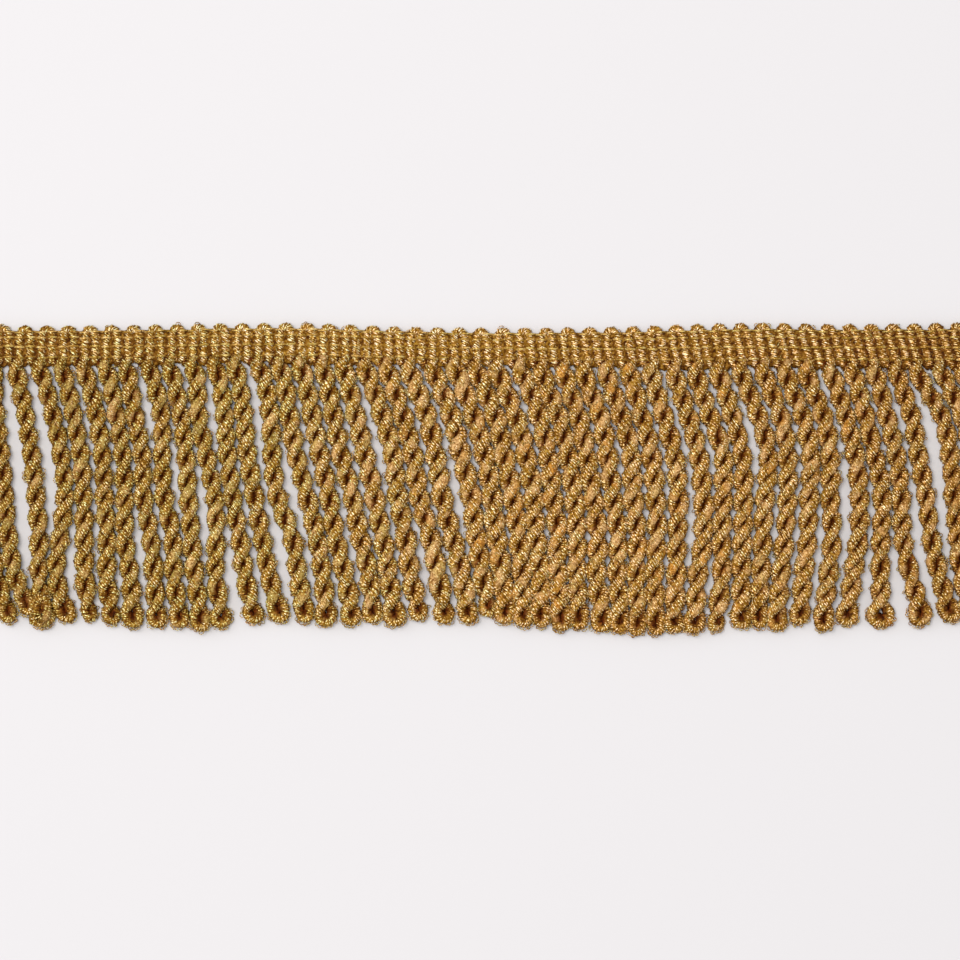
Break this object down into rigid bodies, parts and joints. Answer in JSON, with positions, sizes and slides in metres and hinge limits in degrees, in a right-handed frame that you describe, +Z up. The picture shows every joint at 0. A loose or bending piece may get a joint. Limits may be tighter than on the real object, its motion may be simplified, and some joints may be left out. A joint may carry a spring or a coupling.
{
  "type": "cord fringe trim",
  "caption": "Cut length of metallic gold cord fringe with a ribbed, scalloped heading and two-ply twisted strands that end in loops, laid flat.",
  "frame": {"origin": "on the surface that the trim lies on, under the middle of its box", "axes": "+X along the trim, +Y across it towards the scalloped edge, +Z up from the surface"},
  "size_m": [0.2742, 0.079, 0.0044],
  "materials": {
    "heading_gold": "gimp cord of metallic wrapped yarn, woven",
    "strand_gold": "two-ply twisted cord of metallic wrapped yarn"
  },
  "bodies": {
    "root": {"heading": "heading_gold", "fringe": "strand_gold"}
  },
  "joints": []
}
